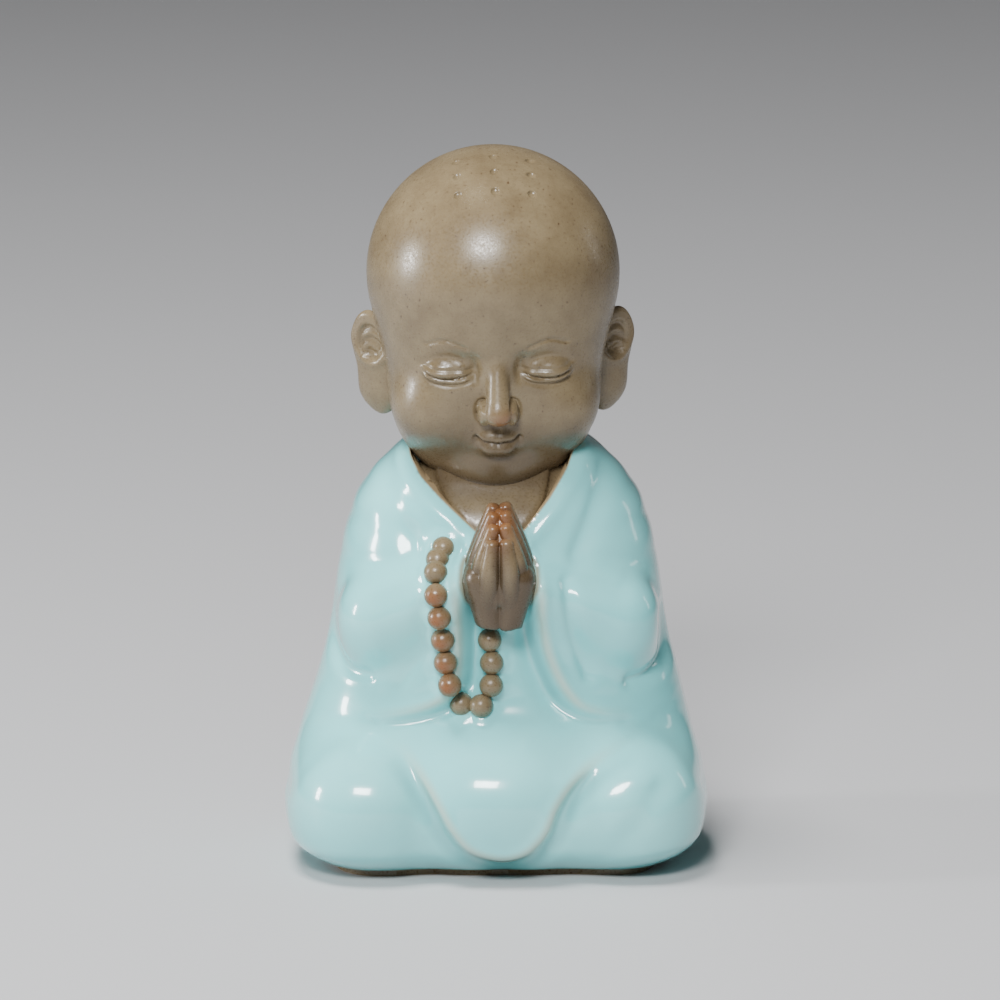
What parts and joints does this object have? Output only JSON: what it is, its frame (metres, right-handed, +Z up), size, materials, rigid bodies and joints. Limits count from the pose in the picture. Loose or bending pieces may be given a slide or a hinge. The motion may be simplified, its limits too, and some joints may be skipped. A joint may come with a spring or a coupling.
{
  "type": "baby monk statue",
  "caption": "Seated child monk ornament in celadon-glazed stoneware, hands joined in prayer, bare clay head and a string of beads over the sleeve.",
  "frame": {"origin": "middle of the flat underside", "axes": "+Z up, from the underside to the crown of the head; the figure faces -Y and its left hand is towards +X"},
  "size_m": [0.0885, 0.0708, 0.15],
  "materials": {
    "celadon_glaze": "gloss",
    "bare_clay": "satin"
  },
  "bodies": {
    "root": {"monk_statue": "celadon_glaze"}
  },
  "joints": []
}
